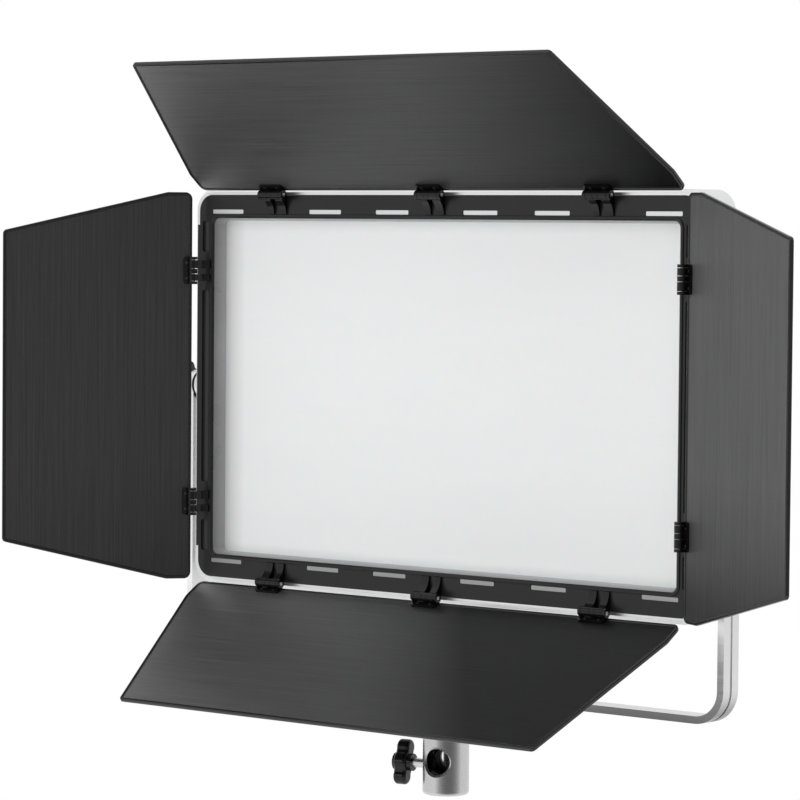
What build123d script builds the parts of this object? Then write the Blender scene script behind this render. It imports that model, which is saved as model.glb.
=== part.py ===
from build123d import *
import os
from math import cos, radians, sin

# LED panel light on a yoke with four barn doors.
# Millimetres, +Z up. The origin is the centre of the stand socket's mouth; the lamp looks along -Y.

# ---------------------------------------------------------------- driving dimensions
AXIS_Z = 247.0  # height of the tilt axis, which is the X direction at y = 0
FACE_Y = -15.0  # front face of the bezel

WINDOW_X, WINDOW_Z = 369.0, 217.0  # light window inside its lip
WINDOW_R = 4.5
LIP_WIDTH, LIP_RISE, LIP_EDGE_R = 2.4, 0.8, 0.5
RECESS = 10.0  # from the bezel's face back to the diffuser
RECESS_DRAFT = 9.0  # degrees that each recess wall leans in
RECESS_WALL = 1.8
WINDOW_CHAMFER = 0.9

BEZEL_X, BEZEL_Z, BEZEL_R, BEZEL_T = 395.0, 246.6, 10.5, 2.5
BEZEL_EDGE_R = 0.9
BULGE_X, BULGE_Z = 398.6, 208.0  # the bezel's wider flanks carry the side hinges
SLOT_LENGTH, SLOT_WIDTH, SLOT_R = 26.8, 2.8, 0.7
SLOT_BAR_GAP, SLOT_BAR_SUNK = 0.1, 0.4  # the frame's raised bars that fill the slots
SLOT_X = (35.0, 90.0, 172.5)
SLOT_Z = 112.5
CHANNEL_X, CHANNEL_WIDTH, CHANNEL_DEPTH, CHANNEL_R = 191.65, 5.9, 1.5, 1.5
CHANNEL_SPANS = ((0.0, 124.0), (96.5, 20.0), (-96.5, 20.0))  # middles and lengths, clear of the hinges

FRAME_X, FRAME_Z, FRAME_R = 404.0, 254.0, 14.0
FRAME_FRONT, FRAME_BACK = 1.0, 31.0  # depths behind the bezel's face
FRAME_WALL, FLANGE_T, FRAME_CHAMFER = 2.5, 2.0, 2.0

DIFFUSER_T, MIXING_DEPTH, MIXING_RIM, MIXING_TAPER = 2.0, 9.0, 4.0, 20.0
GASKET_T, GASKET_RIM = 1.0, 6.0
WINDOW_CLEARANCE = 3.0  # the frame's opening over the inner pieces' outline
INNER_X, INNER_Z = 371.0, 219.0  # diffuser, mixing frame and LED board share this outline
BOARD_T = 1.6
LED_SIZE, LED_T, LED_PITCH_X, LED_PITCH_Z = 3.0, 0.8, 28.0, 25.0
LED_COLUMNS, LED_ROWS = 12, 8
SINK_X, SINK_Z, SINK_T, FIN_T, FIN_HEIGHT, FIN_COUNT = 360.0, 208.0, 2.4, 1.6, 11.0, 29

COVER_EDGE_X, COVER_EDGE_Z, COVER_RISE, COVER_T = 398.0, 248.0, 12.0, 2.2
COVER_TAPER = 35.0
POD_X, POD_Z, POD_R, POD_DEPTH, POD_WALL = 244.0, 142.0, 12.0, 30.0, 2.5

YOKE_T, YOKE_WIDTH, YOKE_INNER_X, YOKE_R = 4.5, 15.0, 418.0, 15.5
YOKE_BOTTOM_Z = 62.0
ARM_TOP = 9.5  # how far the yoke's arms pass the tilt axis
BOLT_R, BOLT_GAP = 4.0, 0.08  # M8 bolts and the running gap around them

RECEIVER_R, RECEIVER_H = 14.4, 60.2
RECEIVER_FILLET, EDGE_CHAMFER = 2.2, 0.6
SOCKET_R, SOCKET_DEPTH = 8.1, 44.0
CROSS_Z, CLAMP_Z = 21.2, 17.8
CROSS_TURN = 12.0  # degrees from -Y to the cross socket's mouth
CROSS_END = 12.0  # how far past the receiver's middle the cross socket runs
CROSS_LAND = 7.0  # the socket guides its spigot this deep, and is relieved behind
CROSS_RELIEF, CROSS_CHAMFER = 0.5, 1.4

DOOR_OFFSET = 4.5  # from a hinge axis out to the middle of its door
DOOR_PANEL_T, DOOR_TRIM_T, TRIM_WIDTH, PANEL_INSET = 1.6, 2.6, 2.2, 0.9
DOOR_LENGTH, KNEE = 122.0, 16.0
HINGE_CORNER_R, KNEE_R, FREE_CORNER_R = 4.5, 7.0, 2.8
PIN_R, PIN_GAP, KNUCKLE_R, KNUCKLE_GAP = 1.2, 0.05, 2.9, 0.3
LONG_AXIS_RISE, SIDE_AXIS_RISE = 6.2, 10.2  # hinge axes in front of the bezel's face
LONG_AXIS_Z, SIDE_AXIS_X = 123.2, 193.3  # hinge axes from the lamp's centre
LONG_HINGES = (-129.0, 0.0, 129.0)
SIDE_HINGES = (-74.5, 74.5)
LONG_HINGE_WIDTH, SIDE_HINGE_WIDTH = 20.0, 17.6

# how far each barn door stands open, in degrees from straight ahead
OPEN_TOP, OPEN_BOTTOM, OPEN_LEFT, OPEN_RIGHT = 38.9, 32.2, 37.8, 63.0

os.makedirs("parts", exist_ok=True)


def save(part, name):
    part.label = name
    export_step(part, f"parts/{name}.step")


def lamp_plane(depth, x=0.0, z=0.0):
    """A plane facing forwards, depth behind the bezel's face, centred on the lamp or off it by x and z."""
    return Plane(origin=(x, FACE_Y + depth, AXIS_Z + z), x_dir=(1, 0, 0), z_dir=(0, -1, 0))


def side_plane(x, side):
    """A plane facing outwards on the tilt axis, at distance x to the right (side 1) or left (side -1)."""
    return Plane(origin=(side * x, 0, AXIS_Z), x_dir=(0, side, 0), z_dir=(side, 0, 0))


# ---------------------------------------------------------------- stand receiver
CROSS_OUT = (sin(radians(CROSS_TURN)), -cos(radians(CROSS_TURN)), 0)
CLAMP_OUT = (-cos(radians(CROSS_TURN)), -sin(radians(CROSS_TURN)), 0)
SCREW_R, SCREW_GAP, PAD_R = 3.0, 0.05, 2.6
SWIVEL_WASHER_T = 1.5


def cross_plane(distance):
    """A plane across the cross socket, facing out of it, at a distance from the receiver's axis."""
    return Plane(
        origin=(distance * CROSS_OUT[0], distance * CROSS_OUT[1], CROSS_Z), x_dir=(0, 0, 1), z_dir=CROSS_OUT
    )


def clamp_plane(distance):
    """A plane across the clamp screw, facing its knob, at a distance from the receiver's axis."""
    return Plane(
        origin=(distance * CLAMP_OUT[0], distance * CLAMP_OUT[1], CLAMP_Z), x_dir=(0, 0, 1), z_dir=CLAMP_OUT
    )


with BuildPart() as receiver_body:
    with BuildSketch(Plane.XY):
        Circle(RECEIVER_R)
    extrude(amount=RECEIVER_H)
    fillet(receiver_body.edges().group_by(Axis.Z)[0], radius=RECEIVER_FILLET)
    chamfer(receiver_body.edges().group_by(Axis.Z)[-1], length=EDGE_CHAMFER)
    with BuildSketch(Plane.XY):
        Circle(SOCKET_R)
    extrude(amount=SOCKET_DEPTH, mode=Mode.SUBTRACT)
    with BuildSketch(cross_plane(0)):
        Circle(SOCKET_R)
    extrude(amount=RECEIVER_R + 1, mode=Mode.SUBTRACT)
    cross_rim = receiver_body.faces().filter_by(GeomType.CYLINDER).sort_by(SortBy.AREA)[-1]
    rim_edges = cross_rim.edges().filter_by(lambda e: 5 < e.center().Z < 33 and e.length > 40)
    chamfer(rim_edges, length=CROSS_CHAMFER)
    with BuildSketch(cross_plane(-CROSS_END)):
        Circle(SOCKET_R + CROSS_RELIEF)
    extrude(amount=CROSS_END + RECEIVER_R - CROSS_CHAMFER - CROSS_LAND, mode=Mode.SUBTRACT)
    with BuildSketch(clamp_plane(0)):
        Circle(SCREW_R + SCREW_GAP)
    extrude(amount=RECEIVER_R + 1, mode=Mode.SUBTRACT)
    with BuildSketch(Plane.XY.offset(SOCKET_DEPTH)):
        Circle(BOLT_R)
    extrude(amount=RECEIVER_H, mode=Mode.SUBTRACT)
save(receiver_body.part, "receiver_body")

with BuildPart() as swivel_washer:
    with BuildSketch(Plane.XY.offset(RECEIVER_H)):
        Circle(RECEIVER_R - EDGE_CHAMFER)
        Circle(BOLT_R, mode=Mode.SUBTRACT)
    extrude(amount=SWIVEL_WASHER_T)
save(swivel_washer.part, "swivel_washer")

SPRING_WASHER_Z = YOKE_BOTTOM_Z + YOKE_T + 0.3
SPRING_WASHER_R, SPRING_WASHER_T = 7.2, 1.8
with BuildPart() as spring_washer:
    with BuildSketch(Plane.XY.offset(SPRING_WASHER_Z)):
        Circle(SPRING_WASHER_R)
        Circle(BOLT_R, mode=Mode.SUBTRACT)
    extrude(amount=SPRING_WASHER_T)
save(spring_washer.part, "spring_washer")

BOLT_START = SOCKET_DEPTH + 2.0
BOLT_HEAD_Z = SPRING_WASHER_Z + SPRING_WASHER_T
BOLT_HEAD_R, BOLT_HEAD_T = 6.5, 5.3
with BuildPart() as swivel_bolt:
    with BuildSketch(Plane.XY.offset(BOLT_START)):
        Circle(BOLT_R)
    extrude(amount=BOLT_HEAD_Z - BOLT_START)
    with BuildSketch(Plane.XY.offset(BOLT_HEAD_Z)):
        RegularPolygon(radius=BOLT_HEAD_R, side_count=6, major_radius=False)
    extrude(amount=BOLT_HEAD_T)
    chamfer(swivel_bolt.edges().group_by(Axis.Z)[-1], length=EDGE_CHAMFER)
save(swivel_bolt.part, "swivel_bolt")

# clamp screw with its winged knob and the pad at its tip
PAD_TIP, PAD_END, SCREW_END = 8.2, 9.4, 30.0
KNOB_BASE, KNOB_T = 22.6, 12.6
KNOB_HUB_R, KNOB_CORE_R = 5.4, 7.4
WINGS, WING_R, WING_REACH, WING_T, WING_START, WING_TURN = 2, 5.1, 9.1, 8.6, 2.6, 15.0
with BuildPart() as clamp_pad:
    with BuildSketch(clamp_plane(PAD_TIP)):
        Circle(PAD_R)
    extrude(amount=PAD_END - PAD_TIP)
save(clamp_pad.part, "clamp_pad")

with BuildPart() as clamp_screw:
    with BuildSketch(clamp_plane(PAD_END)):
        Circle(SCREW_R)
    extrude(amount=SCREW_END - PAD_END)
    chamfer(clamp_screw.edges().group_by(SortBy.DISTANCE)[0], length=0.4)
save(clamp_screw.part, "clamp_screw")

with BuildPart() as clamp_knob:
    with BuildSketch(clamp_plane(KNOB_BASE + WING_START)) as wings:
        Circle(KNOB_CORE_R)
        with PolarLocations(WING_REACH, WINGS, start_angle=WING_TURN):
            Circle(WING_R)
        fillet(wings.vertices(), radius=3.0)
    extrude(amount=WING_T)
    fillet(clamp_knob.edges(), radius=2.2)
    with BuildSketch(clamp_plane(KNOB_BASE)):
        Circle(KNOB_HUB_R)
    extrude(amount=KNOB_T)
    with BuildSketch(clamp_plane(KNOB_BASE)):
        Circle(SCREW_R)
    extrude(amount=SCREW_END - KNOB_BASE, mode=Mode.SUBTRACT)
save(clamp_knob.part, "clamp_knob")

# ---------------------------------------------------------------- yoke
ARM_TOP_Z = AXIS_Z + ARM_TOP
GROOVE_WIDTH, GROOVE_DEPTH = 2.0, 0.6


def yoke_outline(half_x, bottom, radius):
    """The inside or outside of the yoke's U, closed across its top."""
    with BuildSketch() as outline:
        with BuildLine():
            ends = ((half_x, bottom), (half_x, ARM_TOP_Z))
            Polyline((-half_x, ARM_TOP_Z), (-half_x, bottom), *ends, close=True)
        make_face()
        fillet(outline.vertices().group_by(Axis.Y)[0], radius=radius)
    return outline.sketch


YOKE_HALF = YOKE_INNER_X / 2
yoke_outside = yoke_outline(YOKE_HALF + YOKE_T, YOKE_BOTTOM_Z, YOKE_R + YOKE_T)
yoke_inside = yoke_outline(YOKE_HALF, YOKE_BOTTOM_Z + YOKE_T, YOKE_R)
groove_floor = yoke_outline(
    YOKE_HALF + YOKE_T - GROOVE_DEPTH, YOKE_BOTTOM_Z + GROOVE_DEPTH, YOKE_R + YOKE_T - GROOVE_DEPTH
)
with BuildPart() as yoke_bar:
    with BuildSketch(Plane.XZ.offset(-YOKE_WIDTH / 2)):
        add(yoke_outside)
        add(yoke_inside, mode=Mode.SUBTRACT)
    extrude(amount=YOKE_WIDTH)
    fillet(yoke_bar.edges().filter_by(Axis.X).group_by(Axis.Z)[-1], radius=YOKE_WIDTH / 2 - 0.1)
    with BuildSketch(Plane.XZ.offset(-GROOVE_WIDTH / 2)):
        add(yoke_outside)
        add(groove_floor, mode=Mode.SUBTRACT)
    extrude(amount=GROOVE_WIDTH, mode=Mode.SUBTRACT)
    with BuildSketch(side_plane(-YOKE_HALF - YOKE_T - 1, 1)):
        Circle(BOLT_R + BOLT_GAP)
    extrude(amount=2 * YOKE_HALF + 2 * YOKE_T + 2, mode=Mode.SUBTRACT)
    with BuildSketch(Plane.XY.offset(YOKE_BOTTOM_Z - 1)):
        Circle(BOLT_R + BOLT_GAP)
    extrude(amount=YOKE_T + 2, mode=Mode.SUBTRACT)
save(yoke_bar.part, "yoke_bar")

BOSS_START, BOSS_END = 189.0, 207.0  # ends of the side bosses, from the middle of the lamp
BOSS_NECK_R, BOSS_SHOULDER_R = 7.0, 9.0
WASHER_T = YOKE_HALF - BOSS_END - 0.3
with BuildPart() as yoke_washers:
    for side in (1, -1):
        with BuildSketch(side_plane(YOKE_HALF - WASHER_T, side)):
            Circle(BOSS_SHOULDER_R)
            Circle(BOLT_R + BOLT_GAP, mode=Mode.SUBTRACT)
        extrude(amount=WASHER_T)
save(yoke_washers.part, "yoke_washers")

# lock knobs: a star knob moulded on an M8 stud that screws into the side boss
LOCK_BASE = YOKE_HALF + YOKE_T + 0.3
LOCK_HUB_R, LOCK_HUB_T = 8.6, 5.0
LOCK_CORE_R, LOCK_STAR_T = 11.2, 15.0
LOCK_LOBES, LOCK_LOBE_R, LOCK_LOBE_REACH = 5, 4.2, 10.6
STUD_START, STUD_END = 191.0, 229.0
for side, name in ((-1, "left"), (1, "right")):
    with BuildPart() as lock_bolt:
        with BuildSketch(side_plane(STUD_START, side)):
            Circle(BOLT_R)
        extrude(amount=STUD_END - STUD_START)
        chamfer(lock_bolt.edges().group_by(Axis.X)[0 if side > 0 else -1], length=EDGE_CHAMFER)
    save(lock_bolt.part, f"{name}_lock_bolt")

    with BuildPart() as lock_knob:
        with BuildSketch(side_plane(LOCK_BASE, side)):
            Circle(LOCK_HUB_R)
        extrude(amount=LOCK_HUB_T)
        with BuildSketch(side_plane(LOCK_BASE + LOCK_HUB_T, side)) as star:
            Circle(LOCK_CORE_R)
            with PolarLocations(LOCK_LOBE_REACH, LOCK_LOBES, start_angle=90):
                Circle(LOCK_LOBE_R)
            fillet(star.vertices(), radius=2.0)
        extrude(amount=LOCK_STAR_T)
        ends = lock_knob.edges().group_by(Axis.X)
        fillet(ends[-1 if side > 0 else 0], radius=1.6)
        with BuildSketch(side_plane(LOCK_BASE, side)):
            Circle(BOLT_R)
        extrude(amount=STUD_END - LOCK_BASE, mode=Mode.SUBTRACT)
    save(lock_knob.part, f"{name}_lock_knob")

# ---------------------------------------------------------------- lamp: frame and window
COVER_SCREWS = ((60.0, 120.8), (150.0, 120.8))  # along the long walls
COVER_SCREWS_SIDE = (195.8, 62.0)  # on the short walls
BOSS_R, TAP_R, TAP_DEPTH = 3.6, 1.5, 12.0
HEAD_R = 2.8  # screw heads
BEZEL_SCREWS = ((20.0, 118.6), (120.0, 118.6))
BEZEL_TAP_DEPTH = 1.8


def four(points):
    """Each point with its mirror images across the lamp's two middle lines."""
    return [(sx * x, sz * z) for x, z in points for sx in (1, -1) for sz in (1, -1)]


with BuildPart() as housing_frame:
    with BuildSketch(lamp_plane(FRAME_FRONT)):
        RectangleRounded(FRAME_X, FRAME_Z, FRAME_R)
    extrude(amount=FRAME_FRONT - FRAME_BACK)
    chamfer(housing_frame.edges().group_by(Axis.Y)[0], length=FRAME_CHAMFER)
    with BuildSketch(lamp_plane(BEZEL_T + FLANGE_T)):
        RectangleRounded(FRAME_X - 2 * FRAME_WALL, FRAME_Z - 2 * FRAME_WALL, FRAME_R - FRAME_WALL)
        with Locations(*four(COVER_SCREWS + (COVER_SCREWS_SIDE,))):
            Circle(BOSS_R, mode=Mode.SUBTRACT)
    extrude(amount=BEZEL_T + FLANGE_T - FRAME_BACK, mode=Mode.SUBTRACT)
    with BuildSketch(lamp_plane(FRAME_BACK)):
        with Locations(*four(COVER_SCREWS + (COVER_SCREWS_SIDE,))):
            Circle(TAP_R)
    extrude(amount=TAP_DEPTH, mode=Mode.SUBTRACT)
    with BuildSketch(lamp_plane(0)):
        RectangleRounded(BEZEL_X, BEZEL_Z, BEZEL_R)
        Rectangle(BULGE_X, BULGE_Z)
    extrude(amount=-BEZEL_T, mode=Mode.SUBTRACT)
    with BuildSketch(lamp_plane(SLOT_BAR_SUNK)):
        with Locations(*four([(x, SLOT_Z) for x in SLOT_X])):
            RectangleRounded(SLOT_LENGTH - 2 * SLOT_BAR_GAP, SLOT_WIDTH - 2 * SLOT_BAR_GAP, SLOT_R)
    extrude(amount=SLOT_BAR_SUNK - BEZEL_T)
    with BuildSketch(lamp_plane(0)):
        RectangleRounded(INNER_X + WINDOW_CLEARANCE, INNER_Z + WINDOW_CLEARANCE, WINDOW_R)
        with Locations(*four(BEZEL_SCREWS)):
            Circle(TAP_R)
    extrude(amount=-BEZEL_T - FLANGE_T, mode=Mode.SUBTRACT)
    with BuildSketch(side_plane(-FRAME_X, 1)):
        Circle(BOSS_NECK_R + SCREW_GAP)
    extrude(amount=2 * FRAME_X, mode=Mode.SUBTRACT)
save(housing_frame.part, "housing_frame")

with BuildPart() as front_bezel:
    with BuildSketch(lamp_plane(0)):
        RectangleRounded(BEZEL_X, BEZEL_Z, BEZEL_R)
        Rectangle(BULGE_X, BULGE_Z)
    extrude(amount=-BEZEL_T)
    fillet(front_bezel.edges().group_by(Axis.Y)[0], radius=BEZEL_EDGE_R)
    with BuildSketch(lamp_plane(-LIP_RISE)):
        RectangleRounded(WINDOW_X + 2 * LIP_WIDTH, WINDOW_Z + 2 * LIP_WIDTH, WINDOW_R + LIP_WIDTH)
    extrude(amount=-LIP_RISE)
    with BuildSketch(lamp_plane(0)):
        RectangleRounded(WINDOW_X + 2 * RECESS_WALL, WINDOW_Z + 2 * RECESS_WALL, WINDOW_R)
    extrude(amount=-RECESS)
    fillet(front_bezel.edges().group_by(Axis.Y)[0], radius=LIP_EDGE_R)
    with BuildSketch(lamp_plane(-LIP_RISE)):
        RectangleRounded(WINDOW_X, WINDOW_Z, WINDOW_R)
    extrude(amount=-RECESS - LIP_RISE, taper=RECESS_DRAFT, mode=Mode.SUBTRACT)
    window_rim = front_bezel.faces().sort_by(Axis.Y)[0].inner_wires()[0].edges()
    chamfer(window_rim, length=WINDOW_CHAMFER)
    with BuildSketch(lamp_plane(0)):
        with Locations(*four([(x, SLOT_Z) for x in SLOT_X])):
            RectangleRounded(SLOT_LENGTH, SLOT_WIDTH, SLOT_R)
    extrude(amount=-BEZEL_T, mode=Mode.SUBTRACT)
    with BuildSketch(lamp_plane(0)):
        for middle, length in CHANNEL_SPANS:
            with Locations((CHANNEL_X, middle), (-CHANNEL_X, middle)):
                RectangleRounded(CHANNEL_WIDTH, length, CHANNEL_R)
    extrude(amount=-CHANNEL_DEPTH, mode=Mode.SUBTRACT)
    with BuildSketch(lamp_plane(BEZEL_T)):
        with Locations(*four(BEZEL_SCREWS)):
            Circle(TAP_R)
    extrude(amount=BEZEL_TAP_DEPTH, mode=Mode.SUBTRACT)
save(front_bezel.part, "front_bezel")

diffuser_front = RECESS
with BuildPart() as diffuser:
    with BuildSketch(lamp_plane(diffuser_front)):
        RectangleRounded(INNER_X, INNER_Z, WINDOW_R)
    extrude(amount=-DIFFUSER_T)
save(diffuser.part, "diffuser")

gasket_front = diffuser_front + DIFFUSER_T
with BuildPart() as diffuser_gasket:
    with BuildSketch(lamp_plane(gasket_front)):
        RectangleRounded(INNER_X, INNER_Z, WINDOW_R)
        RectangleRounded(
            INNER_X - 2 * GASKET_RIM, INNER_Z - 2 * GASKET_RIM, WINDOW_R, mode=Mode.SUBTRACT
        )
    extrude(amount=-GASKET_T)
save(diffuser_gasket.part, "diffuser_gasket")

mixing_front = gasket_front + GASKET_T
with BuildPart() as mixing_frame:
    with BuildSketch(lamp_plane(mixing_front)):
        RectangleRounded(INNER_X, INNER_Z, WINDOW_R)
    extrude(amount=-MIXING_DEPTH)
    with BuildSketch(lamp_plane(mixing_front)):
        RectangleRounded(INNER_X - 2 * MIXING_RIM, INNER_Z - 2 * MIXING_RIM, WINDOW_R)
    extrude(amount=-MIXING_DEPTH, taper=MIXING_TAPER, mode=Mode.SUBTRACT)
save(mixing_frame.part, "mixing_frame")

board_front = mixing_front + MIXING_DEPTH
with BuildPart() as led_board:
    with BuildSketch(lamp_plane(board_front)):
        RectangleRounded(INNER_X, INNER_Z, WINDOW_R)
    extrude(amount=-BOARD_T)
save(led_board.part, "led_board")

with BuildPart() as led_packages:
    with BuildSketch(lamp_plane(board_front - LED_T)):
        with GridLocations(LED_PITCH_X, LED_PITCH_Z, LED_COLUMNS, LED_ROWS):
            Rectangle(LED_SIZE, LED_SIZE)
    extrude(amount=-LED_T)
save(led_packages.part, "led_packages")

sink_front = board_front + BOARD_T
with BuildPart() as heat_sink:
    with BuildSketch(lamp_plane(sink_front)):
        Rectangle(SINK_X, SINK_Z)
    extrude(amount=-SINK_T)
    with BuildSketch(lamp_plane(sink_front + SINK_T)):
        with GridLocations(SINK_X / (FIN_COUNT + 1), 0, FIN_COUNT, 1):
            Rectangle(FIN_T, SINK_Z)
    extrude(amount=-FIN_HEIGHT)
save(heat_sink.part, "heat_sink")

with BuildPart() as pivot_bosses:
    for side in (1, -1):
        with BuildSketch(side_plane(FRAME_X / 2, side)):
            Circle(BOSS_SHOULDER_R)
        extrude(amount=BOSS_END - FRAME_X / 2)
        with BuildSketch(side_plane(BOSS_START, side)):
            Circle(BOSS_NECK_R)
        extrude(amount=BOSS_END - BOSS_START)
        with BuildSketch(side_plane(BOSS_START, side)):
            Circle(BOLT_R + SCREW_GAP)
        extrude(amount=BOSS_END - BOSS_START, mode=Mode.SUBTRACT)
save(pivot_bosses.part, "pivot_bosses")

# ---------------------------------------------------------------- lamp: back
pod_front = FRAME_BACK + COVER_RISE
pod_back = pod_front + POD_DEPTH
LEDGE = 7.5  # flat rim of the rear cover, where its screws sit
cover_top_x, cover_top_z = COVER_EDGE_X - 2 * LEDGE, COVER_EDGE_Z - 2 * LEDGE
VENT_ROWS, VENT_COLUMNS, VENT_PITCH_X, VENT_PITCH_Z = 3, 7, 50.0, 6.5
VENT_Z, VENT_LENGTH, VENT_WIDTH = 88.5, 40.0, 2.6
CABLE_HOLE = (60.0, 24.0)
POD_SCREWS = (104.0, 56.0)

with BuildPart() as rear_cover:
    with BuildSketch(lamp_plane(FRAME_BACK)):
        RectangleRounded(COVER_EDGE_X, COVER_EDGE_Z, FRAME_R - 3)
    extrude(amount=-COVER_T)
    with BuildSketch(lamp_plane(FRAME_BACK)):
        RectangleRounded(cover_top_x, cover_top_z, FRAME_R - 4)
    extrude(amount=-COVER_RISE, taper=COVER_TAPER)
    with BuildSketch(lamp_plane(FRAME_BACK)):
        RectangleRounded(cover_top_x - 2 * COVER_T, cover_top_z - 2 * COVER_T, FRAME_R - 5)
    extrude(amount=COVER_T - COVER_RISE, taper=COVER_TAPER, mode=Mode.SUBTRACT)
    with BuildSketch(lamp_plane(pod_front)):
        with Locations((0, VENT_Z), (0, -VENT_Z)):
            with GridLocations(VENT_PITCH_X, VENT_PITCH_Z, VENT_COLUMNS, VENT_ROWS):
                SlotOverall(VENT_LENGTH, VENT_WIDTH)
    extrude(amount=COVER_T + 1, mode=Mode.SUBTRACT)
    with BuildSketch(lamp_plane(pod_front)):
        Rectangle(*CABLE_HOLE)
        with Locations(*four([POD_SCREWS])):
            Circle(TAP_R)
    extrude(amount=COVER_T + 1, mode=Mode.SUBTRACT)
    with BuildSketch(lamp_plane(FRAME_BACK)):
        with Locations(*four(COVER_SCREWS + (COVER_SCREWS_SIDE,))):
            Circle(TAP_R)
    extrude(amount=-COVER_T, mode=Mode.SUBTRACT)
save(rear_cover.part, "rear_cover")

POD_EDGE_R, POD_POST_R = 5.0, 5.0
POD_VENT_Z, POD_VENT_PITCH, POD_VENT_ROWS, POD_VENT_LENGTH = 38.0, 7.0, 5, 150.0
PANEL_X, PANEL_Z, PANEL_T, PANEL_DROP, PANEL_LAP = 190.0, 56.0, 2.0, -33.0, 4.0
WINDOW_T, DISPLAY_LAP, DISPLAY_R = 1.2, 2.0, 2.0
KNOB_X, KNOB_Z = (34.0, 72.0), -31.0  # brightness and colour knobs
DISPLAY_X, DISPLAY_SIZE = -54.0, (58.0, 32.0)
BUTTON_X, BUTTON_R, BUTTON_Z = -8.0, 4.0, (-20.0, -42.0)
SWITCH_X, INLET_X, INLET_DEPTH = 62.0, 18.0, 60.0
SWITCH_SIZE, INLET_R = (19.0, 13.0), 5.5

with BuildPart() as electronics_housing:
    with BuildSketch(lamp_plane(pod_front)):
        RectangleRounded(POD_X, POD_Z, POD_R)
    extrude(amount=-POD_DEPTH)
    fillet(electronics_housing.edges().group_by(Axis.Y)[-1], radius=POD_EDGE_R)
    with BuildSketch(lamp_plane(pod_front)):
        RectangleRounded(POD_X - 2 * POD_WALL, POD_Z - 2 * POD_WALL, POD_R - POD_WALL)
    extrude(amount=POD_WALL - POD_DEPTH, mode=Mode.SUBTRACT)
    with BuildSketch(lamp_plane(pod_front)):
        with Locations(*four([POD_SCREWS])):
            Circle(POD_POST_R)
    extrude(amount=-POD_DEPTH + POD_WALL)
    with BuildSketch(lamp_plane(pod_front)):
        with Locations(*four([POD_SCREWS])):
            Circle(TAP_R)
    extrude(amount=-TAP_DEPTH, mode=Mode.SUBTRACT)
    with BuildSketch(lamp_plane(pod_back, z=PANEL_DROP)):
        Rectangle(PANEL_X - 2 * PANEL_LAP, PANEL_Z - 2 * PANEL_LAP)
    extrude(amount=POD_WALL, mode=Mode.SUBTRACT)
    with BuildSketch(lamp_plane(pod_back, z=POD_VENT_Z)):
        with GridLocations(0, POD_VENT_PITCH, 1, POD_VENT_ROWS):
            SlotOverall(POD_VENT_LENGTH, VENT_WIDTH)
    extrude(amount=POD_WALL, mode=Mode.SUBTRACT)
    bottom_plane = Plane(
        origin=(0, FACE_Y + INLET_DEPTH, AXIS_Z - POD_Z / 2), x_dir=(1, 0, 0), z_dir=(0, 0, -1)
    )
    with BuildSketch(bottom_plane):
        with Locations((SWITCH_X, 0)):
            Rectangle(*SWITCH_SIZE)
        with Locations((INLET_X, 0)):
            Circle(INLET_R)
    extrude(amount=-POD_WALL, mode=Mode.SUBTRACT)
save(electronics_housing.part, "electronics_housing")

DRIVER_DEPTH, DRIVER_Z = pod_front + 5.0, 36.0
CAPACITOR_R, CAPACITOR_T, CHIP_T = 6.5, 14.0, 9.0
with BuildPart() as driver_board:
    with BuildSketch(lamp_plane(DRIVER_DEPTH, z=DRIVER_Z)):
        Rectangle(180.0, 52.0)
    extrude(amount=-BOARD_T)
save(driver_board.part, "driver_board")

with BuildPart() as driver_components:
    with BuildSketch(lamp_plane(DRIVER_DEPTH + BOARD_T, z=DRIVER_Z)):
        with Locations((-70, 8), (-52, 8), (-34, 8)):
            Circle(CAPACITOR_R)
    extrude(amount=-CAPACITOR_T)
    with BuildSketch(lamp_plane(DRIVER_DEPTH + BOARD_T, z=DRIVER_Z)):
        with Locations((0, 2)):
            Rectangle(26, 24)
        with Locations((40, 10), (64, 10)):
            Rectangle(14, 14)
        with GridLocations(18, 0, 8, 1):
            with Locations((0, -18)):
                Rectangle(10, 4.5)
    extrude(amount=-CHIP_T)
save(driver_components.part, "driver_components")

CONTROL_DEPTH = pod_back - 10.0
with BuildPart() as control_board:
    with BuildSketch(lamp_plane(CONTROL_DEPTH, z=PANEL_DROP)):
        Rectangle(PANEL_X - 2 * PANEL_LAP - 6, PANEL_Z - 2 * PANEL_LAP - 6)
    extrude(amount=-BOARD_T)
save(control_board.part, "control_board")

with BuildPart() as control_panel:
    with BuildSketch(lamp_plane(pod_back, z=PANEL_DROP)):
        RectangleRounded(PANEL_X, PANEL_Z, 5)
    extrude(amount=-PANEL_T)
    fillet(control_panel.edges().group_by(Axis.Y)[-1], radius=0.8)
    with BuildSketch(lamp_plane(pod_back)):
        with Locations(*[(x, KNOB_Z) for x in KNOB_X]):
            Circle(4.6)
        with Locations(*[(BUTTON_X, z) for z in BUTTON_Z]):
            Circle(BUTTON_R + 0.3)
        with Locations((DISPLAY_X, PANEL_DROP)):
            Rectangle(DISPLAY_SIZE[0] - 2 * DISPLAY_LAP, DISPLAY_SIZE[1] - 2 * DISPLAY_LAP)
    extrude(amount=-PANEL_T, mode=Mode.SUBTRACT)
    with BuildSketch(lamp_plane(pod_back + PANEL_T, x=DISPLAY_X, z=PANEL_DROP)):
        RectangleRounded(*DISPLAY_SIZE, DISPLAY_R)
    extrude(amount=WINDOW_T, mode=Mode.SUBTRACT)
save(control_panel.part, "control_panel")

with BuildPart() as display_window:
    with BuildSketch(lamp_plane(pod_back + PANEL_T, x=DISPLAY_X, z=PANEL_DROP)):
        RectangleRounded(*DISPLAY_SIZE, DISPLAY_R)
    extrude(amount=WINDOW_T)
save(display_window.part, "display_window")

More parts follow.
